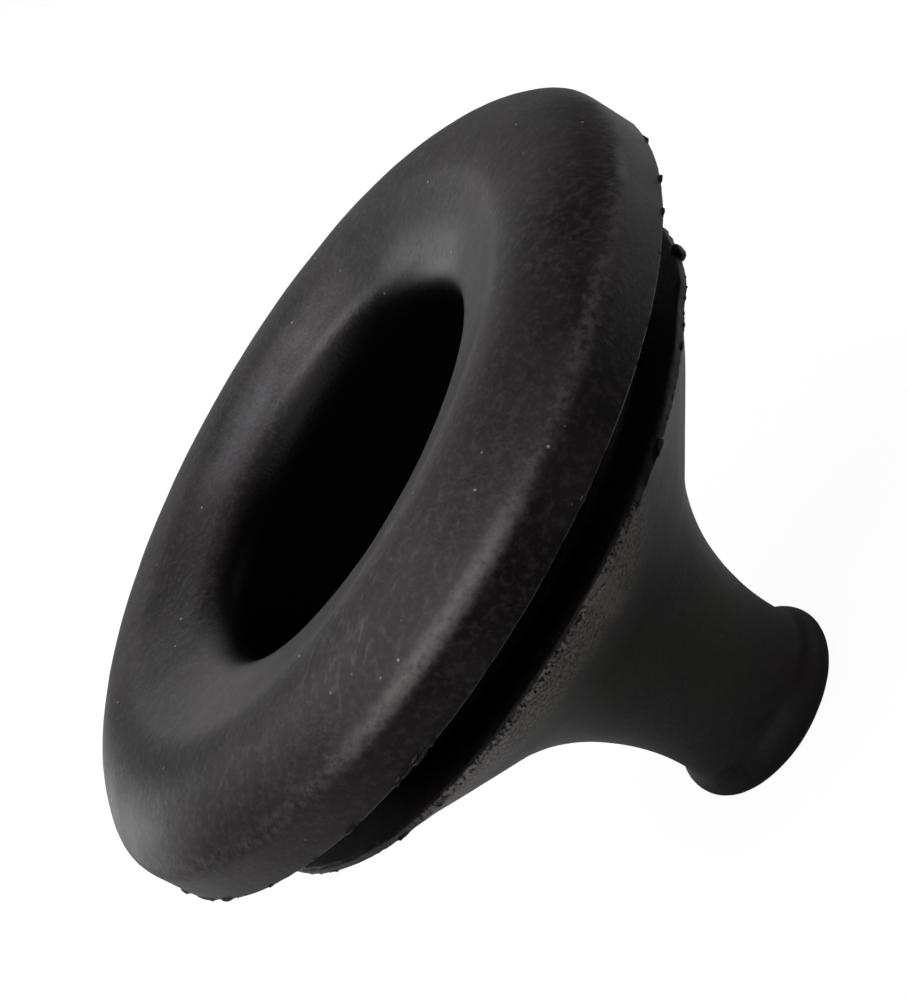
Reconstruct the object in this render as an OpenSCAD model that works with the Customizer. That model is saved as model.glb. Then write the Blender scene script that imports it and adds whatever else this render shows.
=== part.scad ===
// Rubber bushing that leads a cable through a panel: one moulding, turned about +Z.
// The end of the neck stands on z = 0 and the flange's face looks up.

/* [Panel groove] */
// Diameter of the groove's floor, which sits in the panel's hole
groove_d = 25; // [20:0.5:32]
// Width of the groove, which takes the panel's edge
groove_w = 2.95; // [1.5:0.05:6]
// Radius of the fillets along the groove's floor
groove_fillet = 0.35; // [0.1:0.05:0.6]

/* [Flange] */
// How far the flange reaches out past the groove's floor
flange_reach = 5.5; // [5:0.1:9]
// Height of the crown above the flange's rear face
flange_h = 4.18; // [3.5:0.02:7]
// Distance of the crown from the flange's outer edge
crown_inset = 4.13; // [3:0.01:5]
// How far the crown's curve turns down before the shoulder, in degrees
crown_turn = 49.5; // [40:0.5:70]
// Radius of the shoulder between the crown's curve and the outer wall
shoulder_r = 1.1; // [0.3:0.1:2]

/* [Mouth] */
// Fall of the face from the crown in to the mouth, in degrees
mouth_slope = 16.5; // [8:0.5:28]
// Radius rolled over the lip of the mouth
mouth_roll_r = 2; // [0.5:0.1:3]
// Wall between the groove's floor and the throat
collar_wall = 4.1; // [2:0.1:6]

/* [Skirt] */
// How far the lip behind the groove reaches out past the groove's floor
lip_reach = 2.7; // [1:0.1:4.5]
// Thickness of that lip at its rim
lip_t = 0.45; // [0.3:0.05:2]
// How far the lip's rim stands out from the cone behind it
lip_step = 0.16; // [0.04:0.02:0.4]
// Radius of the rim's front edge
rim_r = 0.18; // [0.05:0.01:0.25]
// Angle of the skirt's cone to the axis, in degrees
skirt_angle = 51.3; // [44:0.1:60]
// Radius of the curve from the cone into the neck, outside
skirt_r = 11.65; // [7:0.05:14]
// Wall of the cone
skirt_wall = 2.3; // [1.5:0.1:3]

/* [Neck] */
// Diameter of the bore that holds the cable
bore_d = 5.2; // [4:0.1:7]
// Radius of the curve from the funnel into the bore
funnel_r = 12; // [8:0.1:16]
// Wall of the neck
neck_wall = 1.35; // [0.8:0.05:2]
// Straight length of the neck between the skirt and the bead
neck_l = 0.5; // [0.2:0.1:6]
// How far the bead stands out from the neck
bead_reach = 0.5; // [0.2:0.05:1]
// Width of the bead, which is round outside
bead_w = 1.9; // [1.2:0.1:3]
// Radius of the fillet at the bead's foot
bead_fillet = 0.6; // [0.2:0.1:1]

/* [Hidden] */
$fn = 160;
// Overlap of the pieces of the section with each other
lap = 0.1;

// Radii, from the axis outward
bore_r = bore_d / 2;
neck_r = bore_r + neck_wall;
bead_r = neck_r + bead_reach;
groove_r = groove_d / 2;
throat_r = groove_r - collar_wall;
lip_r = groove_r + lip_reach;
cone_r = lip_r - lip_step;
flange_r = groove_r + flange_reach;

// Centres of the bead's round edge and of the fillet at its foot, which touches the neck
bead_round = bead_w / 2;
bead = [bead_r - bead_round, bead_round];
foot_x = neck_r + bead_fillet;
foot = [foot_x, bead[1] + sqrt(pow(bead_round + bead_fillet, 2) - pow(foot_x - bead[0], 2))];

// Centres of the curves between the cone and the neck, each tangent to both lines
bend = [neck_r + skirt_r, bead_w + neck_l];
lip_z = bend[1] - ((bend[0] - cone_r) * cos(skirt_angle) - skirt_r) / sin(skirt_angle);
funnel_x = bore_r + funnel_r;
funnel_drop = (funnel_x - cone_r) * cos(skirt_angle) - (funnel_r - skirt_wall);
funnel = [funnel_x, lip_z + funnel_drop / sin(skirt_angle)];

// Levels, from the lip's rear edge up
groove_z = lip_z + lip_t;
flange_z = groove_z + groove_w;
top_z = flange_z + flange_h;

// The crown's curve and the shoulder inside it, which meet where the crown has made its turn
joint = 90 - crown_turn;
crown_r = shoulder_r + (crown_inset - shoulder_r) / cos(joint);
crown = [flange_r - crown_inset, top_z - crown_r];

// Height of the slope that runs off the crown into the mouth, and the roll that ends it
function mouth_z(x) = crown[1] + crown_r / cos(mouth_slope) + (x - crown[0]) * tan(mouth_slope);
roll_x = throat_r + mouth_roll_r;
roll = [roll_x, mouth_z(roll_x) - mouth_roll_r / cos(mouth_slope)];

// Point of a circle, with the angle counted from +X
function on_circle(centre, r, angle) = centre + r * [cos(angle), sin(angle)];

// Slice of a disc between two angles
module slice(centre, r, from, to) {
    intersection() {
        translate(centre) circle(r);
        polygon([centre, on_circle(centre, 2 * r, from), on_circle(centre, 2 * r, to)]);
    }
}

// Ring over the panel: wall, shoulder, crown and the slope into the mouth
module flange_section() {
    slope = 90 + mouth_slope;
    shoulder = on_circle(crown, crown_r - shoulder_r, joint);
    intersection() {
        union() {
            polygon([
                [0, groove_z],
                [flange_r, groove_z],
                on_circle(shoulder, shoulder_r, 0),
                on_circle(shoulder, shoulder_r, joint),
                on_circle(crown, crown_r, slope),
                on_circle(roll, mouth_roll_r, slope),
                on_circle(roll, mouth_roll_r, 180),
                [0, roll[1]]
            ]);
            slice(shoulder, shoulder_r, 0, joint);
            slice(crown, crown_r, joint, slope);
            slice(roll, mouth_roll_r, slope, 180);
        }
        translate([0, flange_z]) square([flange_r + lap, flange_h + lap]);
    }
}

// Floor of the panel groove, with a fillet in each corner
module collar_section() {
    rim = groove_r + groove_fillet;
    difference() {
        polygon([
            [0, groove_z - lap],
            [rim, groove_z - lap],
            [rim, groove_z],
            [groove_r, groove_z + groove_fillet],
            [groove_r, flange_z - groove_fillet],
            [rim, flange_z],
            [rim, flange_z + lap],
            [0, flange_z + lap]
        ]);
        translate([rim, groove_z + groove_fillet]) circle(groove_fillet);
        translate([rim, flange_z - groove_fillet]) circle(groove_fillet);
    }
}

// Lip with its stepped rim, cone and the curve into the neck
module skirt_section() {
    rim = [lip_r - rim_r, groove_z - rim_r];
    difference() {
        union() {
            polygon([
                [0, bend[1]],
                [neck_r, bend[1]],
                on_circle(bend, skirt_r, 180 - skirt_angle),
                [cone_r, lip_z],
                [lip_r, lip_z],
                on_circle(rim, rim_r, 0),
                on_circle(rim, rim_r, 90),
                [0, groove_z]
            ]);
            slice(rim, rim_r, 0, 90);
        }
        translate(bend) circle(skirt_r);
    }
}

// Neck with the bead round its end and a fillet at the bead's foot
module neck_section() {
    meet = atan2(foot[1] - bead[1], foot[0] - bead[0]);
    square([neck_r, bend[1] + lap]);
    square([bead[0], bead_w]);
    translate(bead) circle(bead_round);
    difference() {
        polygon([
            [0, bead[1]],
            bead,
            on_circle(bead, bead_round, meet),
            [neck_r, foot[1]],
            [0, foot[1]]
        ]);
        translate(foot) circle(bead_fillet);
    }
}

// Bore, funnel and throat
module hollow_section() {
    translate([0, -lap]) square([bore_r, funnel[1] + 2 * lap]);
    intersection() {
        square([throat_r, top_z + lap]);
        difference() {
            polygon([
                [0, funnel[1]],
                [bore_r, funnel[1]],
                on_circle(funnel, funnel_r, 180 - skirt_angle),
                [cone_r, lip_z + skirt_wall / sin(skirt_angle)],
                [cone_r, top_z + lap],
                [0, top_z + lap]
            ]);
            translate(funnel) circle(funnel_r);
        }
    }
}

module bushing() {
    color("#2b2a2b") rotate_extrude() difference() {
        union() {
            flange_section();
            collar_section();
            skirt_section();
            neck_section();
        }
        hollow_section();
    }
}

bushing();
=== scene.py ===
import math
import bmesh
import bpy
from mathutils import Matrix, Vector


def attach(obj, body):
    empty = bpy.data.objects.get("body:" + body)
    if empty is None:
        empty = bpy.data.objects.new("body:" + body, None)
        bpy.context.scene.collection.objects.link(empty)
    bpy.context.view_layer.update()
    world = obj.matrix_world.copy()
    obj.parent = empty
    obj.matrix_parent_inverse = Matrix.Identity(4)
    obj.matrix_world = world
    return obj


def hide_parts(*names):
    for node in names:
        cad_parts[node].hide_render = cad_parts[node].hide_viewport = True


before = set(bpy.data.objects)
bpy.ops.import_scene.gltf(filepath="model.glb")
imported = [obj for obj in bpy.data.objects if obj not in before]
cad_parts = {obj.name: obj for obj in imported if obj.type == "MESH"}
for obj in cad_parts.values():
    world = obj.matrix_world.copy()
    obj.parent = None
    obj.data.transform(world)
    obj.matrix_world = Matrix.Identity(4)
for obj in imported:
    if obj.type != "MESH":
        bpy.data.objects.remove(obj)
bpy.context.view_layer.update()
mm = 0.001
scene = bpy.context.scene
scene.view_settings.view_transform = "Standard"


def hexColour(code):  # sRGB hex to linear RGBA
    parts = [int(code[i:i + 2], 16) / 255 for i in (1, 3, 5)]
    return [p / 12.92 if p <= 0.04045 else ((p + 0.055) / 1.055) ** 2.4 for p in parts] + [1.0]


def addNode(tree, kind, inputs=None, **settings):  # a value sets a socket, a socket is linked to it
    node = tree.nodes.new(kind)
    for key, value in settings.items():
        setattr(node, key, value)
    for socket, value in (inputs or {}).items():
        if isinstance(value, bpy.types.NodeSocket):
            tree.links.new(value, node.inputs[socket])
        else:
            node.inputs[socket].default_value = value
    return node


def perSize(size):  # texture scale that gives features of a size in mm
    return 1 / (size * mm)


def heading(turn):  # level direction at an angle from +X, in degrees
    return (math.cos(math.radians(turn)), math.sin(math.radians(turn)), 0.0)


def aroundAxis(radius, turn, height):  # point in metres, from mm and degrees
    x, y = heading(turn)[:2]
    return (radius * mm * x, radius * mm * y, height * mm)


def addObject(name, data):
    made = bpy.data.objects.new(name, data)
    scene.collection.objects.link(made)
    return made


def blankMaterial(name):
    made = bpy.data.materials.new(name)
    made.use_nodes = True
    made.node_tree.nodes.clear()
    return made


# Camera of the photograph, in mm and degrees: it looks along +Y and down, rolled on its view direction
cameraView = {
    "eye": (1.12, -109.63, 60.39),
    "elevation": 21.28,
    "roll": -60.42,
    "lens": 102.6,
    "clipStart": 10.0,
}
elevation = math.radians(cameraView["elevation"])
camera = addObject("camera", bpy.data.cameras.new("camera"))
scene.camera = camera
camera.data.lens = cameraView["lens"]
camera.data.clip_start = cameraView["clipStart"] * mm
camera.matrix_world = (
    Matrix.Translation(Vector(cameraView["eye"]) * mm)
    @ Matrix.Rotation(math.pi / 2 - elevation, 4, "X")
    @ Matrix.Rotation(math.radians(cameraView["roll"]), 4, "Z")
)

# Moulded black rubber: matte and nearly neutral, with a soft grey sheen, plum and olive clouds, a fine
# mottled bloom, brush marks and scuffs on the face, rubbed wear and a painted highlight on the ridge,
# painted highlights on the slope into the mouth, painted shade on the neck and in the bore, pale dust, and
# grit by the lip that is painted lighter than it is, standing in for light.
# The mottle, grain and grit are drawn coarser than on real rubber, so that they show in the picture
rubberLook = {
    "deep": "#1d181b",
    "grey": "#2c272a",
    "plum": "#33272d",
    "olive": "#2a2a23",
    # pale haze on marks and on a smudge, and the painted highlights on the slope into the mouth
    "bloom": "#4b4547",
    # brush marks and scuffs, and on the ridge rubbed wear that also serves as a painted highlight
    "rubbedAndHighlight": "#5c5557",
    # painted highlight on the near side of the ridge
    "ridgeHighlight": "#867b7c",
    "hazeAndHighlight": "#7b797c",
    # painted shade inside the bore
    "bore": "#0c0b0c",
    # real grit by the lip, painted lighter than it is to stand in for light on the lip
    "grit": "#f2e7e0",
    "dust": "#d6cdbe",
    "roughness": (0.44, 0.56),
    "glossCloud": (0.3, 0.7),  # span of the cloud noise that runs from one roughness to the other
    "mouthGloss": 0.38,  # roughness of the slope into the mouth, off the mould's polished core
    "neckGloss": 0.62,   # roughness of the neck, which has never been rubbed
    "specular": 0.5,
    "boreSpecular": 0.1,
    "ior": 1.52,
    "noises": {  # size in mm, detail, roughness
        "cloud": (4.5, 5.0, 0.6),
        "tint": (6.0, 3.0, 0.6),
        "mottle": (0.34, 4.0, 0.7),
        "grit": (0.16, 3.0, 0.6),
        "grain": (0.17, 3.0, 0.6),
        "warp": (1.5, 3.0, 0.6),
    },
    "grainDepth": 0.016,  # this, the marks and the spacings are in mm
    "gritDepth": 0.06,
    "brushMark": (0.6, 0.3, 0.6),  # length, width and depth of a mark
    "brushTurn": 12.0,   # degrees
    "scuffSpacing": 1.5,
    "dustSpacing": 1.1,
    "sides": {  # degrees from +X
        # the ridge's second side and the mouth's sides are where their painted highlights sit
        "near": -103.0, "ridgeHighlightSide": -101.0, "pale": -86.5, "smudge": -31.5, "mouthTop": 10.0,
        "mouthLeft": 82.0,
    },
    "masks": {  # what it reads, where it starts and is full; heights and radii in mm, sides as cosines
        "face": ("up", 0.6, 0.9),
        "upper": ("up", -0.2, 0.3),
        "hollow": ("radius", 9.4, 8.6),
        "inner": ("away", 0.0, -0.3),
        "inward": ("away", -0.05, -0.25),
        "behindFlange": ("height", 19.0, 16.0),
        "neck": ("height", 6.5, 1.5),
        "cloudy": ("cloud", 0.38, 0.64),
        "reddish": ("tintRed", 0.46, 0.62),
        "greenish": ("tintGreen", 0.4, 0.6),
        "mottled": ("mottle", 0.46, 0.66),
        "marked": ("brush", 0.52, 0.82),
        "markedPart": ("tintBlue", 0.4, 0.56),
        "scuffLine": ("scuff", 0.035, 0.0),
        "scuffPart": ("cloud", 0.48, 0.6),
        "ridgeInner": ("up", 0.73, 0.61),
        "ridgeOuter": ("up", 0.03, 0.45),
        "outward": ("away", 0.1, 0.3),
        "onFlange": ("height", 21.0, 21.6),
        # mottle of the ridge's rubbed wear and painted highlight
        "ridgeWearAndHighlight": ("mottle", 0.3, 0.75),
        "ridgeGrain": ("mottle", 0.1, 0.62),
        # where the ridge's painted highlight is full
        "ridgeMost": ("ridgeHighlightSide", 0.92, 0.995),
        "nearMost": ("near", 0.92, 0.995),
        "topSide": ("mouthTop", 0.86, 0.99),
        "topFrom": ("radius", 8.3, 9.7),
        "topTo": ("radius", 11.6, 9.7),
        "leftSide": ("mouthLeft", 0.8, 0.995),
        "leftFrom": ("radius", 9.0, 10.8),
        "leftTo": ("radius", 13.0, 10.8),
        # spread and grain of the painted highlights in the mouth
        "mouthHighlightPart": ("cloud", 0.2, 0.5),
        "mouthHighlightGrain": ("mottle", 0.1, 0.55),
        "smudgeSide": ("smudge", 0.9965, 0.9995),
        "smudgeFrom": ("height", 21.85, 22.2),
        "smudgeTo": ("height", 22.55, 22.2),
        "gritSide": ("near", 0.82, 0.96),
        "gritFrom": ("height", 13.4, 16.4),
        "gritTo": ("height", 17.35, 17.1),
        "gritPatch": ("mottle", 0.2, 0.6),
        "steep": ("up", 0.4, 0.1),
        "pores": ("grit", 0.4, 0.54),
        "paleSide": ("pale", 0.9982, 0.9997),
        "palePores": ("grit", 0.3, 0.45),
        "speck": ("speckDistance", 0.075, 0.02),
        "someCells": ("speckChance", 0.2, 0.9),
    },
    "layers": [  # colour, strength, and the masks that it shows through
        ("grey", 1.0, ("cloudy",)),
        ("plum", 1.0, ("reddish",)),
        ("olive", 1.0, ("greenish", "behindFlange")),
        ("bloom", 0.65, ("mottled",)),
        # painted shade: the neck darker towards its end
        ("deep", 0.7, ("neck",)),
        ("rubbedAndHighlight", 0.5, ("marked", "markedPart", "face")),
        ("hazeAndHighlight", 0.4, ("marked", "face", "nearMost")),
        ("rubbedAndHighlight", 0.35, ("scuffLine", "scuffPart", "face")),
        # rubbed wear along the ridge, drawn lighter all round as a painted highlight too
        ("rubbedAndHighlight", 1.0, ("ridgeInner", "ridgeOuter", "outward", "onFlange", "ridgeWearAndHighlight")),
        # painted highlight on the near side of the ridge
        ("ridgeHighlight", 0.8, ("ridgeInner", "ridgeOuter", "outward", "onFlange", "ridgeMost", "ridgeGrain")),
        # painted highlights on the slope into the mouth, at its top and at its left
        ("hazeAndHighlight", 0.8, ("topFrom", "topTo", "topSide", "inward", "mouthHighlightPart", "mouthHighlightGrain")),
        ("hazeAndHighlight", 0.75, ("leftFrom", "leftTo", "leftSide", "inward", "mouthHighlightPart", "mouthHighlightGrain")),
        ("hazeAndHighlight", 1.0, ("smudgeFrom", "smudgeTo", "smudgeSide", "ridgeGrain")),
        # grit by the lip, painted lighter than it is as painted light
        ("grit", 1.0, ("gritFrom", "gritTo", "gritSide", "steep", "pores", "gritPatch")),
        ("dust", 1.0, ("gritFrom", "gritTo", "paleSide", "steep", "palePores")),
        ("dust", 1.0, ("speck", "someCells", "upper")),
        # painted shade: the bore drawn darker than the outside
        ("bore", 1.0, ("hollow", "inner")),
    ],
}


def rubberMaterial(look):
    made = blankMaterial("mouldedRubber")
    tree = made.node_tree

    # what the masks read: places in mm, and how far a face looks up and away from the axis
    place = addNode(tree, "ShaderNodeTexCoord").outputs["Object"]
    normal = addNode(tree, "ShaderNodeNewGeometry").outputs["Normal"]
    spot = addNode(tree, "ShaderNodeVectorMath", {0: place, "Scale": 1 / mm},
                   operation="SCALE").outputs[0]
    level = addNode(tree, "ShaderNodeVectorMath", {0: spot, 1: (1, 1, 0)},
                    operation="MULTIPLY").outputs[0]
    outward = addNode(tree, "ShaderNodeVectorMath", {0: level}, operation="NORMALIZE").outputs[0]
    away = addNode(tree, "ShaderNodeVectorMath", {0: normal, 1: outward}, operation="DOT_PRODUCT")
    reads = {
        "height": addNode(tree, "ShaderNodeSeparateXYZ", {0: spot}).outputs["Z"],
        "radius": addNode(tree, "ShaderNodeVectorMath", {0: level}, operation="LENGTH").outputs["Value"],
        "up": addNode(tree, "ShaderNodeSeparateXYZ", {0: normal}).outputs["Z"],
        "away": away.outputs["Value"],
    }
    for side, turn in look["sides"].items():  # 1 on the side that lies at this angle, in degrees
        facing = addNode(tree, "ShaderNodeVectorMath", {0: outward, 1: heading(turn)},
                         operation="DOT_PRODUCT")
        reads[side] = facing.outputs["Value"]
    shades = {}
    for name, (size, detail, roughness) in look["noises"].items():
        noise = addNode(tree, "ShaderNodeTexNoise", {
            "Vector": place, "Scale": perSize(size), "Detail": detail, "Roughness": roughness})
        reads[name] = noise.outputs[0]
        shades[name] = noise.outputs[1]
    tints = addNode(tree, "ShaderNodeSeparateColor", {0: shades["tint"]}).outputs
    reads.update({"tintRed": tints[0], "tintGreen": tints[1], "tintBlue": tints[2]})

    # brush marks that run one way, scuffs that wander, and one speck of dust in some of the cells
    brushed = addNode(tree, "ShaderNodeMapping", {
        "Vector": spot,
        "Rotation": (0, 0, math.radians(look["brushTurn"])),
        "Scale": look["brushMark"],
    }, vector_type="TEXTURE").outputs[0]
    reads["brush"] = addNode(tree, "ShaderNodeTexNoise", {
        "Vector": brushed, "Scale": 1.0, "Detail": 3.0}).outputs[0]
    warped = addNode(tree, "ShaderNodeVectorMath", {
        0: shades["warp"], 1: [look["scuffSpacing"] * mm] * 3, 2: place},
        operation="MULTIPLY_ADD").outputs[0]
    reads["scuff"] = addNode(tree, "ShaderNodeTexVoronoi", {
        "Vector": warped, "Scale": perSize(look["scuffSpacing"])},
        feature="DISTANCE_TO_EDGE").outputs["Distance"]
    cells = addNode(tree, "ShaderNodeTexVoronoi", {
        "Vector": place, "Scale": perSize(look["dustSpacing"])}).outputs
    reads["speckDistance"] = cells["Distance"]
    reads["speckChance"] = addNode(tree, "ShaderNodeSeparateColor", {0: cells["Color"]}).outputs[0]

    # masks, and the layers that show through them
    masks = {}
    for name, (read, begin, full) in look["masks"].items():
        masks[name] = addNode(tree, "ShaderNodeMapRange", {
            "Value": reads[read], "From Min": begin, "From Max": full},
            interpolation_type="SMOOTHSTEP").outputs[0]
    colour = hexColour(look["deep"])
    shares = {}
    for top, strength, through in look["layers"]:
        share = strength
        for name in through:
            share = addNode(tree, "ShaderNodeMath", {0: share, 1: masks[name]},
                            operation="MULTIPLY").outputs[0]
        shares[top] = share
        colour = addNode(tree, "ShaderNodeMix", {0: share, 6: colour, 7: hexColour(look[top])},
                         data_type="RGBA").outputs[2]

    # gloss and relief
    gloss = addNode(tree, "ShaderNodeMapRange", {
        "Value": reads["cloud"], "From Min": look["glossCloud"][0], "From Max": look["glossCloud"][1],
        "To Min": look["roughness"][0], "To Max": look["roughness"][1]}).outputs[0]
    gloss = addNode(tree, "ShaderNodeMix", {
        0: masks["inward"], 2: gloss, 3: look["mouthGloss"]}).outputs[0]
    gloss = addNode(tree, "ShaderNodeMix", {
        0: masks["neck"], 2: gloss, 3: look["neckGloss"]}).outputs[0]
    specular = addNode(tree, "ShaderNodeMix", {
        0: shares["bore"], 2: look["specular"], 3: look["boreSpecular"]}).outputs[0]
    relief = addNode(tree, "ShaderNodeBump", {
        "Height": reads["grain"], "Distance": look["grainDepth"] * mm}).outputs[0]
    relief = addNode(tree, "ShaderNodeBump", {
        "Height": shares["grit"], "Distance": look["gritDepth"] * mm, "Normal": relief}).outputs[0]
    shader = addNode(tree, "ShaderNodeBsdfPrincipled", {
        "Base Color": colour, "Roughness": gloss, "IOR": look["ior"], "Specular IOR Level": specular,
        "Normal": relief})
    addNode(tree, "ShaderNodeOutputMaterial", {"Surface": shader.outputs[0]})
    return made


rubber = rubberMaterial(rubberLook)
print("rubber mixed")


def newTree(name, inputs):
    tree = bpy.data.node_groups.new(name, "GeometryNodeTree")
    tree.interface.new_socket(name="Geometry", in_out="INPUT", socket_type="NodeSocketGeometry")
    for label, kind in inputs.items():
        tree.interface.new_socket(name=label, in_out="INPUT", socket_type="NodeSocket" + kind)
    tree.interface.new_socket(name="Geometry", in_out="OUTPUT", socket_type="NodeSocketGeometry")
    return tree, addNode(tree, "NodeGroupInput").outputs


def closeTree(tree, geometry, material):
    smooth = addNode(tree, "GeometryNodeSetShadeSmooth", {"Geometry": geometry}).outputs[0]
    real = addNode(tree, "GeometryNodeRealizeInstances", {"Geometry": smooth}).outputs[0]
    coated = addNode(tree, "GeometryNodeSetMaterial", {"Geometry": real, "Material": material}).outputs[0]
    addNode(tree, "NodeGroupOutput", {"Geometry": coated})


def growPiece(name, seed, tree, values):  # runs a tree on a seed mesh, and leaves a plain mesh
    piece = addObject(name, seed)
    grower = piece.modifiers.new("grow", "NODES")
    grower.node_group = tree
    for item in tree.interface.items_tree:
        if item.in_out == "INPUT" and item.name in values:
            grower[item.identifier] = values[item.name]
    mesh = bpy.data.meshes.new_from_object(piece.evaluated_get(bpy.context.evaluated_depsgraph_get()))
    piece.modifiers.remove(grower)
    piece.data = mesh
    mesh.name = name
    shell = bmesh.new()
    shell.from_mesh(mesh)
    bmesh.ops.recalc_face_normals(shell, faces=shell.faces)
    shell.to_mesh(mesh)
    shell.free()
    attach(piece, "root")
    print(name, len(mesh.polygons), "faces")
    return piece


# The moulding: half section in mm, from the axis outward and from the neck's end up
bushing = {
    "grooveD": 25.0,
    "grooveW": 2.95,
    "flangeReach": 5.5,
    "flangeH": 4.18,
    "crownInset": 4.13,
    "crownTurn": 49.5,   # the crown turns down this far, in degrees, before the shoulder
    "shoulderR": 1.1,
    "mouthSlope": 16.5,
    "mouthRollR": 2.0,
    "collarWall": 4.1,
    "lipReach": 2.7,
    "lipT": 0.45,
    "lipStep": 0.16,     # the lip's rim stands this far out from the skirt
    "skirtAngle": 51.3,
    "skirtR": 11.65,
    "skirtWall": 2.3,
    "boreD": 5.2,
    "funnelR": 12.0,
    "neckWall": 1.35,
    "neckL": 0.5,
    "beadReach": 0.5,
    "beadW": 1.9,
    "edgeR": 0.1,        # outer edges, as sharp as rubber moulds
    "rimR": 0.18,        # front edge of the lip's rim
    "stepRound": 0.6,    # rounding of its rear edge, as a part of lipStep
    "cornerR": 0.35,     # corners of the groove's floor
    "footR": 0.6,        # foot of the bead on the neck
    "throatR": 2.0,      # where the throat turns into the funnel
    "pitch": 0.34,       # longest step along the section
    "turnSteps": 336,
    "unevenness": 0.08,  # swells and hollows of a hand-pressed mould, about a quarter of this each way
    "unevenSize": 3.2,
    "lipRag": 0.2,       # ragged rim, where the flash was torn off, about a quarter of this each way
    "ragSize": 0.45,
    "ragLevel": 0.55,    # noise above this stands out, and below it bites in
    "ragBand": (0.2, 0.6),    # height from the lip's middle, over which the rag dies out
    "ragDepth": (0.05, 0.3),  # depth in from the rim, over which it dies out
    "lipSet": 0.2,       # the soft lip has set a little toward -X
    "setFrom": 0.1,      # the set starts this far out from the groove's floor
    "setBelow": 0.5,     # and ends this far below the flange
    "bulgeTurn": -23.0,  # the lip bulges here, in degrees from +X
    "bulgeReach": 0.24,
    "bulgeSpan": (0.965, 0.99),  # cosine of the angle from its middle, where it starts and is full
    "sharpAngle": 38.0,  # edges sharper than this, in degrees, stay sharp
}


def arcPoints(centre, radius, start, stop, pitch):
    mostTurn = 9  # degrees between two points
    sweep = stop - start
    byTurn = math.ceil(abs(sweep) / mostTurn)
    count = max(2, math.ceil(abs(math.radians(sweep)) * radius / pitch), byTurn)
    angles = [math.radians(start + sweep * i / count) for i in range(count + 1)]
    return [Vector((centre[0] + radius * math.cos(a), centre[1] + radius * math.sin(a))) for a in angles]


def roundCorner(before, corner, after, radius, pitch):
    toBefore = (before - corner).normalized()
    toAfter = (after - corner).normalized()
    half = toBefore.angle(toAfter) / 2
    centre = corner + (toBefore + toAfter).normalized() * (radius / math.sin(half))
    reach = radius / math.tan(half)
    first = corner + toBefore * reach - centre
    last = corner + toAfter * reach - centre
    start = math.degrees(math.atan2(first.y, first.x))
    sweep = (math.degrees(math.atan2(last.y, last.x)) - start + 180) % 360 - 180
    return arcPoints(centre, radius, start, start + sweep, pitch)


def bushingLevels(b):  # radii and heights that the section and the flash share
    cone = math.radians(b["skirtAngle"])
    at = {"boreR": b["boreD"] / 2, "grooveR": b["grooveD"] / 2}
    at["neckR"] = at["boreR"] + b["neckWall"]
    at["beadR"] = at["neckR"] + b["beadReach"]
    at["throatR"] = at["grooveR"] - b["collarWall"]
    at["lipR"] = at["grooveR"] + b["lipReach"]
    at["flangeR"] = at["grooveR"] + b["flangeReach"]
    at["coneR"] = at["lipR"] - b["lipStep"]
    bendX = at["neckR"] + b["skirtR"]
    bendZ = b["beadW"] + b["neckL"]
    at["lipZ"] = bendZ - ((bendX - at["coneR"]) * math.cos(cone) - b["skirtR"]) / math.sin(cone)
    at["grooveZ"] = at["lipZ"] + b["lipT"]
    at["flangeZ"] = at["grooveZ"] + b["grooveW"]
    turn = math.radians(b["crownTurn"])
    at["crownR"] = b["shoulderR"] + (b["crownInset"] - b["shoulderR"]) / math.sin(turn)
    at["crownX"] = at["flangeR"] - b["crownInset"]
    at["crownZ"] = at["flangeZ"] + b["flangeH"] - at["crownR"]
    return at


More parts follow.
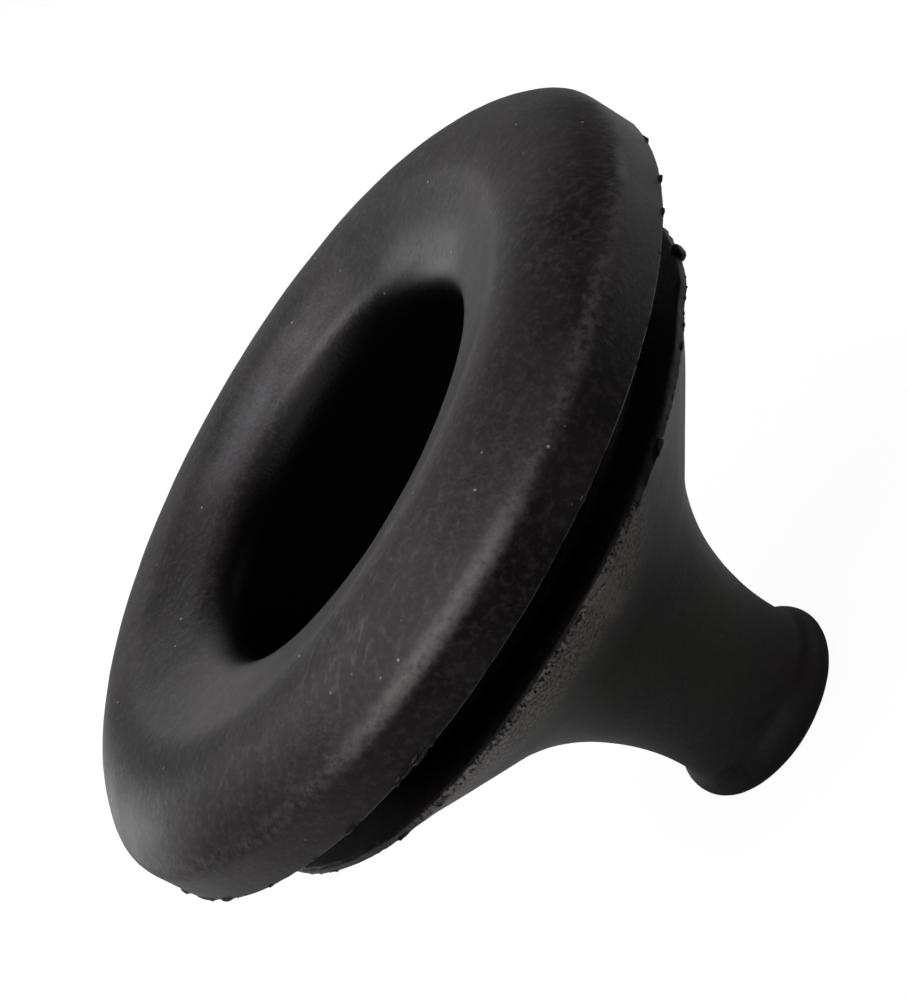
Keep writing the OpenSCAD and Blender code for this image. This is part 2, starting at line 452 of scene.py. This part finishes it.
def bushingSection(b, at):
    cone = math.radians(b["skirtAngle"])
    mouth = math.radians(b["mouthSlope"])
    mouthTop = at["crownZ"] + at["crownR"] / math.cos(mouth)  # the mouth's slope, at the crown's radius
    wallTop = at["lipZ"] + b["skirtWall"] / math.sin(cone)    # the funnel's cone, at the skirt's edge

    # bead, with a soft foot on the neck
    ball = b["beadW"] / 2
    ballC = Vector((at["beadR"] - ball, ball))
    footX = at["neckR"] + b["footR"]
    footZ = ball + math.sqrt((ball + b["footR"]) ** 2 - (footX - ballC.x) ** 2)
    footAngle = math.degrees(math.atan2(footZ - ball, footX - ballC.x))
    pitch = b["pitch"]
    bead = arcPoints(ballC, ball, -90, footAngle, pitch / 2)
    foot = arcPoints((footX, footZ), b["footR"], 180 + footAngle, 180, pitch / 2)

    # crown, with a tight shoulder where it meets the flange's outer wall
    turn = math.radians(90 - b["crownTurn"])
    inner = at["crownR"] - b["shoulderR"]
    shoulderC = (at["crownX"] + inner * math.cos(turn), at["crownZ"] + inner * math.sin(turn))
    shoulder = arcPoints(shoulderC, b["shoulderR"], 0, 90 - b["crownTurn"], pitch / 2)
    crownC = (at["crownX"], at["crownZ"])
    crown = arcPoints(crownC, at["crownR"], 90 - b["crownTurn"], 90 + b["mouthSlope"], pitch)

    corners = [(p.x, p.y, 0) for p in bead + foot] + [
        (at["neckR"], at["lipZ"] - (at["coneR"] - at["neckR"]) / math.tan(cone), b["skirtR"]),
        (at["coneR"], at["lipZ"], 0),
        (at["lipR"], at["lipZ"], b["lipStep"] * b["stepRound"]),
        (at["lipR"], at["grooveZ"], b["rimR"]),
        (at["grooveR"], at["grooveZ"], b["cornerR"]),
        (at["grooveR"], at["flangeZ"], b["cornerR"]),
        (at["flangeR"], at["flangeZ"], b["edgeR"]),
    ] + [(p.x, p.y, 0) for p in shoulder + crown] + [
        (at["throatR"], mouthTop - (at["crownX"] - at["throatR"]) * math.tan(mouth), b["mouthRollR"]),
        (at["throatR"], wallTop - (at["coneR"] - at["throatR"]) / math.tan(cone), b["throatR"]),
        (at["boreR"], wallTop - (at["coneR"] - at["boreR"]) / math.tan(cone), b["funnelR"]),
        (at["boreR"], 0, b["edgeR"]),
    ]
    outline = []
    for i, (x, z, radius) in enumerate(corners):
        here = Vector((x, z))
        before = Vector(corners[i - 1][:2])
        after = Vector(corners[(i + 1) % len(corners)][:2])
        outline += roundCorner(before, here, after, radius, pitch) if radius else [here]
    section = []
    slack = 0.001  # a stretch that is one pitch long stays whole
    for i, point in enumerate(outline):  # long straight stretches get points too
        step = point - outline[i - 1]
        count = math.ceil(step.length / pitch - slack)
        section += [point - step * (1 - (k + 1) / count) for k in range(count)]
    return section


levels = bushingLevels(bushing)
section = bushingSection(bushing, levels)
ringRadius = levels["grooveR"]
sectionMesh = bpy.data.meshes.new("section")
sectionMesh.from_pydata(
    [((p.x - ringRadius) * mm, -p.y * mm, 0) for p in section],
    [(i, (i + 1) % len(section)) for i in range(len(section))], [])

tree, given = newTree("turnedMoulding", {
    "Ring Radius": "Float", "Turn Steps": "Int", "Unevenness": "Float", "Uneven Size": "Float",
    "Lip Radius": "Float", "Lip Height": "Float", "Set From": "Float", "Set Below": "Float",
    "Lip Rag": "Float", "Rag Size": "Float", "Lip Set": "Float", "Bulge Heading": "Vector",
    "Bulge Reach": "Float", "Material": "Material"})
profile = addNode(tree, "GeometryNodeMeshToCurve", {"Mesh": given["Geometry"]}).outputs[0]
ring = addNode(tree, "GeometryNodeCurvePrimitiveCircle",
               {"Resolution": given["Turn Steps"], "Radius": given["Ring Radius"]}).outputs[0]
swept = addNode(tree, "GeometryNodeCurveToMesh", {"Curve": ring, "Profile Curve": profile}).outputs[0]
place = addNode(tree, "GeometryNodeInputPosition").outputs[0]
height = addNode(tree, "ShaderNodeSeparateXYZ", {0: place}).outputs["Z"]
level = addNode(tree, "ShaderNodeVectorMath", {0: place, 1: (1, 1, 0)}, operation="MULTIPLY").outputs[0]
radius = addNode(tree, "ShaderNodeVectorMath", {0: level}, operation="LENGTH").outputs["Value"]
outward = addNode(tree, "ShaderNodeVectorMath", {0: level}, operation="NORMALIZE").outputs[0]

# swell and hollow along the surface's normal
swellScale = addNode(tree, "ShaderNodeMath", {0: 1.0, 1: given["Uneven Size"]},
                     operation="DIVIDE").outputs[0]
swell = addNode(tree, "ShaderNodeTexNoise", {
    "Vector": place, "Scale": swellScale, "Detail": 3.0}).outputs[0]
swell = addNode(tree, "ShaderNodeMath", {0: swell, 1: 0.5}, operation="SUBTRACT").outputs[0]
swell = addNode(tree, "ShaderNodeMath", {0: swell, 1: given["Unevenness"]},
                operation="MULTIPLY").outputs[0]
normal = addNode(tree, "GeometryNodeInputNormal").outputs[0]
move = addNode(tree, "ShaderNodeVectorMath", {0: normal, "Scale": swell}, operation="SCALE").outputs[0]

# ragged rim of the lip, with its bulge, only near the rim
fromLip = addNode(tree, "ShaderNodeMath", {0: height, 1: given["Lip Height"]},
                  operation="SUBTRACT").outputs[0]
fromLip = addNode(tree, "ShaderNodeMath", {0: fromLip}, operation="ABSOLUTE").outputs[0]
byLip = addNode(tree, "ShaderNodeMapRange", {
    "Value": fromLip, "From Min": bushing["ragBand"][0] * mm, "From Max": bushing["ragBand"][1] * mm,
    "To Min": 1.0, "To Max": 0.0}).outputs[0]
inset = addNode(tree, "ShaderNodeMath", {0: given["Lip Radius"], 1: radius},
                operation="SUBTRACT").outputs[0]
onRim = addNode(tree, "ShaderNodeMapRange", {
    "Value": inset, "From Min": bushing["ragDepth"][0] * mm, "From Max": bushing["ragDepth"][1] * mm,
    "To Min": 1.0, "To Max": 0.0}).outputs[0]
ragScale = addNode(tree, "ShaderNodeMath", {0: 1.0, 1: given["Rag Size"]}, operation="DIVIDE").outputs[0]
rag = addNode(tree, "ShaderNodeTexNoise", {"Vector": place, "Scale": ragScale, "Detail": 2.0}).outputs[0]
rag = addNode(tree, "ShaderNodeMath", {0: rag, 1: bushing["ragLevel"]}, operation="SUBTRACT").outputs[0]
rag = addNode(tree, "ShaderNodeMath", {0: rag, 1: given["Lip Rag"]}, operation="MULTIPLY").outputs[0]
facing = addNode(tree, "ShaderNodeVectorMath", {0: outward, 1: given["Bulge Heading"]},
                 operation="DOT_PRODUCT").outputs["Value"]
bulge = addNode(tree, "ShaderNodeMapRange", {
    "Value": facing, "From Min": bushing["bulgeSpan"][0], "From Max": bushing["bulgeSpan"][1],
    "To Max": given["Bulge Reach"]},
    interpolation_type="SMOOTHSTEP").outputs[0]
rag = addNode(tree, "ShaderNodeMath", {0: rag, 1: bulge}, operation="ADD").outputs[0]
rag = addNode(tree, "ShaderNodeMath", {0: rag, 1: byLip}, operation="MULTIPLY").outputs[0]
rag = addNode(tree, "ShaderNodeMath", {0: rag, 1: onRim}, operation="MULTIPLY").outputs[0]
ragged = addNode(tree, "ShaderNodeVectorMath", {0: outward, "Scale": rag}, operation="SCALE").outputs[0]
move = addNode(tree, "ShaderNodeVectorMath", {0: move, 1: ragged}, operation="ADD").outputs[0]

# the lip's set, which dies out down the skirt and on the groove's floor
reached = addNode(tree, "ShaderNodeMapRange", {
    "Value": radius, "From Min": given["Set From"], "From Max": given["Lip Radius"]},
    interpolation_type="SMOOTHSTEP").outputs[0]
behind = addNode(tree, "ShaderNodeMath", {0: height, 1: given["Set Below"]},
                 operation="LESS_THAN").outputs[0]
leaning = addNode(tree, "ShaderNodeMath", {0: reached, 1: behind}, operation="MULTIPLY").outputs[0]
leaning = addNode(tree, "ShaderNodeMath", {0: leaning, 1: given["Lip Set"]},
                  operation="MULTIPLY").outputs[0]
lean = addNode(tree, "ShaderNodeVectorMath", {0: (-1, 0, 0), "Scale": leaning},
               operation="SCALE").outputs[0]
move = addNode(tree, "ShaderNodeVectorMath", {0: move, 1: lean}, operation="ADD").outputs[0]
settled = addNode(tree, "GeometryNodeSetPosition", {"Geometry": swept, "Offset": move}).outputs[0]
closeTree(tree, settled, given["Material"])

body = growPiece("bushingSkin", sectionMesh, tree, {
    "Ring Radius": ringRadius * mm, "Turn Steps": bushing["turnSteps"],
    "Unevenness": bushing["unevenness"] * mm, "Uneven Size": bushing["unevenSize"] * mm,
    "Lip Radius": levels["lipR"] * mm, "Lip Height": (levels["lipZ"] + bushing["lipT"] / 2) * mm,
    "Set From": (levels["grooveR"] + bushing["setFrom"]) * mm,
    "Set Below": (levels["flangeZ"] - bushing["setBelow"]) * mm,
    "Lip Rag": bushing["lipRag"] * mm, "Rag Size": bushing["ragSize"] * mm,
    "Lip Set": bushing["lipSet"] * mm, "Bulge Reach": bushing["bulgeReach"] * mm,
    "Bulge Heading": heading(bushing["bulgeTurn"]), "Material": rubber})
body.data.set_sharp_from_angle(angle=math.radians(bushing["sharpAngle"]))
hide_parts("bushing")

# Thin flash from the mould's joint, torn off unevenly: angles and widths in degrees, the rest in mm
flashWear = {
    "span": (0.48, 0.78),  # noise at which the edge is bitten and at which it stands furthest out
    "bite": 0.04,
    "sharpAngle": 40.0,
}
flangeFlash = {
    "name": "flangeFlash",
    "edgeR": levels["flangeR"],
    "height": levels["flangeZ"] + 0.07,
    "rootDepth": 0.3,
    "thickness": 0.06,
    "reach": 0.08,
    "raggedSize": 0.8,
    "curl": 0.06,
    "set": 0.0,
    "steps": 1500,
    "torn": [  # longer pieces: angle, half width, reach
        (-128.4, 0.9, 0.16), (-118.8, 0.5, 0.20), (-117.0, 0.8, 0.16), (-114.2, 1.3, 0.24),
        (-112.0, 0.5, 0.18), (-79.3, 0.5, 0.14), (-37.1, 0.7, 0.12), (-30.1, 0.8, 0.14),
        (-18.0, 1.4, 0.08), (187.1, 1.6, 0.14), (195.7, 3.0, 0.08), (202.3, 1.6, 0.12),
        (24.0, 1.5, 0.16), (71.0, 0.8, 0.22), (98.0, 2.2, 0.12), (139.0, 1.0, 0.20),
    ],
}
lipFlash = {
    "name": "lipFlash",
    "edgeR": levels["lipR"],
    "height": levels["lipZ"] + 0.06,
    "rootDepth": 0.25,
    "thickness": 0.06,
    "reach": 0.06,
    "raggedSize": 0.5,
    "curl": 0.05,
    "set": bushing["lipSet"],
    "steps": 1300,
    "torn": [
        (-134.6, 1.4, 0.10), (-107.0, 0.9, 0.04), (-97.0, 0.7, 0.05), (-86.5, 1.2, 0.06),
        (-72.8, 0.8, 0.08), (-64.6, 0.7, 0.12), (-45.4, 0.8, 0.08), (-41.0, 0.5, 0.07),
        (-38.5, 0.3, 0.06), (-35.2, 0.6, 0.17), (-33.1, 0.3, 0.25), (-30.4, 0.5, 0.29),
        (-28.5, 0.3, 0.28), (33.0, 1.0, 0.16), (84.0, 1.4, 0.12), (150.0, 0.9, 0.16),
    ],
}

tree, given = newTree("mouldFlash", {
    "Path Radius": "Float", "Root Depth": "Float", "Thickness": "Float", "Ragged Reach": "Float",
    "Ragged Size": "Float", "Curl": "Float", "Set": "Float", "Material": "Material"})
path = addNode(tree, "GeometryNodeMeshToCurve", {"Mesh": given["Geometry"]}).outputs[0]
blade = addNode(tree, "GeometryNodeCurvePrimitiveQuadrilateral",
                {"Width": given["Root Depth"], "Height": given["Thickness"]}).outputs[0]
swept = addNode(tree, "GeometryNodeCurveToMesh", {"Curve": path, "Profile Curve": blade}).outputs[0]
place = addNode(tree, "GeometryNodeInputPosition").outputs[0]
level = addNode(tree, "ShaderNodeVectorMath", {0: place, 1: (1, 1, 0)}, operation="MULTIPLY").outputs[0]
radius = addNode(tree, "ShaderNodeVectorMath", {0: level}, operation="LENGTH").outputs["Value"]
outward = addNode(tree, "ShaderNodeVectorMath", {0: level}, operation="NORMALIZE").outputs[0]
tip = addNode(tree, "ShaderNodeMath", {0: radius, 1: given["Path Radius"]},
              operation="GREATER_THAN").outputs[0]
ragScale = addNode(tree, "ShaderNodeMath", {0: 1.0, 1: given["Ragged Size"]},
                   operation="DIVIDE").outputs[0]
rag = addNode(tree, "ShaderNodeTexNoise",
              {"Vector": level, "Scale": ragScale, "Detail": 4.0, "Roughness": 0.65}).outputs
reach = addNode(tree, "ShaderNodeMapRange", {
    "Value": rag[0], "From Min": flashWear["span"][0], "From Max": flashWear["span"][1],
    "To Min": -flashWear["bite"] * mm, "To Max": given["Ragged Reach"]}).outputs[0]
torn = addNode(tree, "GeometryNodeInputNamedAttribute", {"Name": "torn"}, data_type="FLOAT").outputs[0]
reach = addNode(tree, "ShaderNodeMath", {0: reach, 1: torn}, operation="ADD").outputs[0]
reach = addNode(tree, "ShaderNodeMath", {0: reach, 1: tip}, operation="MULTIPLY").outputs[0]
grown = addNode(tree, "ShaderNodeVectorMath", {0: outward, "Scale": reach}, operation="SCALE").outputs[0]
curl = addNode(tree, "ShaderNodeSeparateXYZ", {0: rag[1]}).outputs["Y"]
curl = addNode(tree, "ShaderNodeMath", {0: curl, 1: 0.5}, operation="SUBTRACT").outputs[0]
curl = addNode(tree, "ShaderNodeMath", {0: curl, 1: given["Curl"]}, operation="MULTIPLY").outputs[0]
curl = addNode(tree, "ShaderNodeMath", {0: curl, 1: tip}, operation="MULTIPLY").outputs[0]
aside = addNode(tree, "ShaderNodeMath", {0: given["Set"], 1: -1.0}, operation="MULTIPLY").outputs[0]
shift = addNode(tree, "ShaderNodeCombineXYZ", {"X": aside, "Z": curl}).outputs[0]
move = addNode(tree, "ShaderNodeVectorMath", {0: grown, 1: shift}, operation="ADD").outputs[0]
ragged = addNode(tree, "GeometryNodeSetPosition", {"Geometry": swept, "Offset": move}).outputs[0]
closeTree(tree, ragged, given["Material"])

for fin in (flangeFlash, lipFlash):
    pathR = fin["edgeR"] - fin["rootDepth"] / 2
    turns = [360 * i / fin["steps"] for i in range(fin["steps"])]
    seed = bpy.data.meshes.new(fin["name"] + "Path")
    seed.from_pydata(
        [aroundAxis(pathR, turn, fin["height"]) for turn in turns],
        [(i, (i + 1) % len(turns)) for i in range(len(turns))], [])
    torn = seed.attributes.new("torn", "FLOAT", "POINT")
    for i, turn in enumerate(turns):  # a flat-topped bump for each longer piece
        gaps = [((turn - middle + 180) % 360 - 180, half, far) for middle, half, far in fin["torn"]]
        torn.data[i].value = mm * sum(far * math.exp(-(gap / half) ** 4) for gap, half, far in gaps)
    piece = growPiece(fin["name"], seed, tree, {
        "Path Radius": pathR * mm, "Root Depth": fin["rootDepth"] * mm,
        "Thickness": fin["thickness"] * mm, "Ragged Reach": fin["reach"] * mm,
        "Ragged Size": fin["raggedSize"] * mm, "Curl": fin["curl"] * mm,
        "Set": fin["set"] * mm, "Material": rubber})
    piece.data.set_sharp_from_angle(angle=math.radians(flashWear["sharpAngle"]))

# Crumbs of rubber left on the edges, in mm and degrees: half sizes along the radius, the edge and the axis
crumbs = {
    "rough": 0.12,       # about a quarter of this each way
    "roughSize": 0.26,
    "smoothing": 4,
    "crease": 0.25,      # keeps them a little blocky
    "bits": [  # angle, radius, height, half sizes, lean about the radius
        (-24.5, levels["lipR"] + 0.05, levels["lipZ"] + 0.2, (0.31, 0.46, 0.27), 8),
        (-64.0, levels["lipR"] - 0.02, levels["lipZ"] + 0.12, (0.10, 0.30, 0.14), 10),
        (-87.0, levels["lipR"] - 0.06, levels["lipZ"] - 0.05, (0.09, 0.42, 0.12), -6),
        (-79.7, levels["flangeR"], levels["flangeZ"] + 0.36, (0.05, 0.07, 0.46), 30),
        (-79.1, levels["flangeR"], levels["flangeZ"] + 0.10, (0.08, 0.16, 0.10), 0),
        (-115.4, levels["flangeR"] + 0.02, levels["flangeZ"] + 0.16, (0.07, 0.46, 0.06), 12),
        (-118.4, levels["flangeR"] + 0.02, levels["flangeZ"] + 0.14, (0.07, 0.16, 0.09), 0),
    ],
}
tree, given = newTree("flashCrumbs", {"Rough": "Float", "Rough Size": "Float", "Material": "Material"})
block = addNode(tree, "GeometryNodeMeshCube", {"Size": (2, 2, 2)}).outputs[0]  # scaled by half sizes
lump = addNode(tree, "GeometryNodeSubdivisionSurface", {
    "Mesh": block, "Level": crumbs["smoothing"], "Edge Crease": crumbs["crease"]}).outputs[0]
size = addNode(tree, "GeometryNodeInputNamedAttribute", {"Name": "size"},
               data_type="FLOAT_VECTOR").outputs[0]
turn = addNode(tree, "GeometryNodeInputNamedAttribute", {"Name": "turn"},
               data_type="FLOAT_VECTOR").outputs[0]
turn = addNode(tree, "FunctionNodeEulerToRotation", {0: turn}).outputs[0]
spread = addNode(tree, "GeometryNodeInstanceOnPoints", {
    "Points": given["Geometry"], "Instance": lump, "Rotation": turn, "Scale": size}).outputs[0]
real = addNode(tree, "GeometryNodeRealizeInstances", {"Geometry": spread}).outputs[0]
place = addNode(tree, "GeometryNodeInputPosition").outputs[0]
roughScale = addNode(tree, "ShaderNodeMath", {0: 1.0, 1: given["Rough Size"]},
                     operation="DIVIDE").outputs[0]
lumpy = addNode(tree, "ShaderNodeTexNoise", {
    "Vector": place, "Scale": roughScale, "Detail": 2.0}).outputs[1]
lumpy = addNode(tree, "ShaderNodeVectorMath", {0: lumpy, 1: (0.5, 0.5, 0.5)},
                operation="SUBTRACT").outputs[0]
move = addNode(tree, "ShaderNodeVectorMath", {0: lumpy, "Scale": given["Rough"]},
               operation="SCALE").outputs[0]
rough = addNode(tree, "GeometryNodeSetPosition", {"Geometry": real, "Offset": move}).outputs[0]
closeTree(tree, rough, given["Material"])

seed = bpy.data.meshes.new("crumbSpots")
seed.from_pydata(
    [aroundAxis(out, angle, up) for angle, out, up, half, lean in crumbs["bits"]], [], [])
sizes = seed.attributes.new("size", "FLOAT_VECTOR", "POINT")
turns = seed.attributes.new("turn", "FLOAT_VECTOR", "POINT")
for i, (angle, out, up, half, lean) in enumerate(crumbs["bits"]):
    sizes.data[i].vector = [h * mm for h in half]
    turns.data[i].vector = (math.radians(lean), 0, math.radians(angle))
growPiece("flashCrumbs", seed, tree, {
    "Rough": crumbs["rough"] * mm, "Rough Size": crumbs["roughSize"] * mm, "Material": rubber})

# Pale floor: white to the camera, greyer in the rubber's sheen, with a painted shadow that darkens it
# there under the part
floorLook = {
    "half": 4000,              # mm, from its middle to its edge
    "white": 0.95,
    "under": (7, 0.075),       # distance from the axis in mm, and how bright it is in the sheen
    "around": (15, 0.48),
    "colour": "#808080",
}
edge = floorLook["half"] * mm
floorMesh = bpy.data.meshes.new("floor")
floorMesh.from_pydata(
    [(-edge, -edge, 0), (edge, -edge, 0), (edge, edge, 0), (-edge, edge, 0)], [], [(0, 1, 2, 3)])
floor = addObject("floor", floorMesh)
paper = blankMaterial("paleFloor")
tree = paper.node_tree
ray = addNode(tree, "ShaderNodeLightPath").outputs
seen = addNode(tree, "ShaderNodeMath", {0: ray["Is Camera Ray"], 1: ray["Is Transmission Ray"]},
               operation="MAXIMUM").outputs[0]
glow = addNode(tree, "ShaderNodeMath", {0: seen, 1: floorLook["white"]}, operation="MULTIPLY").outputs[0]
spot = addNode(tree, "ShaderNodeTexCoord").outputs["Object"]
spot = addNode(tree, "ShaderNodeVectorMath", {0: spot}, operation="LENGTH").outputs["Value"]
shade = addNode(tree, "ShaderNodeMapRange", {
    "Value": spot, "From Min": floorLook["under"][0] * mm, "From Max": floorLook["around"][0] * mm,
    "To Min": floorLook["under"][1], "To Max": floorLook["around"][1]}).outputs[0]
sheen = addNode(tree, "ShaderNodeMath", {0: ray["Is Glossy Ray"], 1: shade},
                operation="MULTIPLY").outputs[0]
glow = addNode(tree, "ShaderNodeMath", {0: glow, 1: sheen}, operation="MAXIMUM").outputs[0]
white = addNode(tree, "ShaderNodeEmission", {"Strength": glow}).outputs[0]
matt = addNode(tree, "ShaderNodeBsdfDiffuse", {"Color": hexColour(floorLook["colour"])}).outputs[0]
surface = addNode(tree, "ShaderNodeAddShader", {0: white, 1: matt}).outputs[0]
addNode(tree, "ShaderNodeOutputMaterial", {"Surface": surface})
floorMesh.materials.append(paper)

# Black card on the floor in front, unseen by the camera, keeps the near side dark as in the photograph
flagSize = {"left": -260, "right": 260, "near": -420, "far": -24, "height": 0.5}  # mm
flagCorners = [("left", "near"), ("right", "near"), ("right", "far"), ("left", "far")]
flagMesh = bpy.data.meshes.new("frontFlag")
flagMesh.from_pydata(
    [(flagSize[x] * mm, flagSize[y] * mm, flagSize["height"] * mm) for x, y in flagCorners],
    [], [(0, 1, 2, 3)])
flag = addObject("frontFlag", flagMesh)
flag.visible_camera = False
flag.visible_shadow = False
card = blankMaterial("blackCard")
black = addNode(card.node_tree, "ShaderNodeBsdfDiffuse", {"Color": hexColour("#0c0c0c")}).outputs[0]
addNode(card.node_tree, "ShaderNodeOutputMaterial", {"Surface": black})
flagMesh.materials.append(card)

# Soft studio light: the world is pale behind the part, and nearly dark as a light
skyLook = {"light": 0.01, "backdrop": 0.98}
world = bpy.data.worlds.new("studio")
scene.world = world
world.use_nodes = True
tree = world.node_tree
tree.nodes.clear()
ray = addNode(tree, "ShaderNodeLightPath").outputs
seen = addNode(tree, "ShaderNodeMath", {0: ray["Is Camera Ray"], 1: ray["Is Transmission Ray"]},
               operation="MAXIMUM").outputs[0]
pale = addNode(tree, "ShaderNodeMapRange", {
    "Value": seen, "To Min": skyLook["light"], "To Max": skyLook["backdrop"]}).outputs[0]
sky = addNode(tree, "ShaderNodeBackground", {"Color": (1, 1, 1, 1), "Strength": pale}).outputs[0]
addNode(tree, "ShaderNodeOutputWorld", {"Surface": sky})
lampTarget = Vector((0, 0, 20)) * mm
lamps = {  # places and sizes in mm, power in watts
    "front": {"at": (-6, -71, 91), "size": 50, "power": 0.0200},
    "frontLeft": {"at": (-50, -50, 91), "size": 50, "power": 0.0150},
    "top": {"at": (-84, -48, 403), "size": 160, "power": 0.10},
    "back": {"at": (-100, 173, 361), "size": 160, "power": 0.237},
    "rim": {"at": (0, 94, 54), "size": 50, "power": 0.0045},
    "rimRight": {"at": (47, 81, 54), "size": 50, "power": 0.0035},
    "leftLow": {"at": (-197, 341, 85), "size": 160, "power": 0.17},
    "rightLow": {"at": (394, 0, 85), "size": 160, "power": 0.06},
}
for name, lamp in lamps.items():
    light = bpy.data.lights.new(name, "AREA")
    light.size = lamp["size"] * mm
    light.energy = lamp["power"]
    holder = addObject(name, light)
    holder.visible_camera = False
    holder.location = Vector(lamp["at"]) * mm
    holder.rotation_euler = (lampTarget - holder.location).to_track_quat("-Z", "Y").to_euler()
print("stage set")
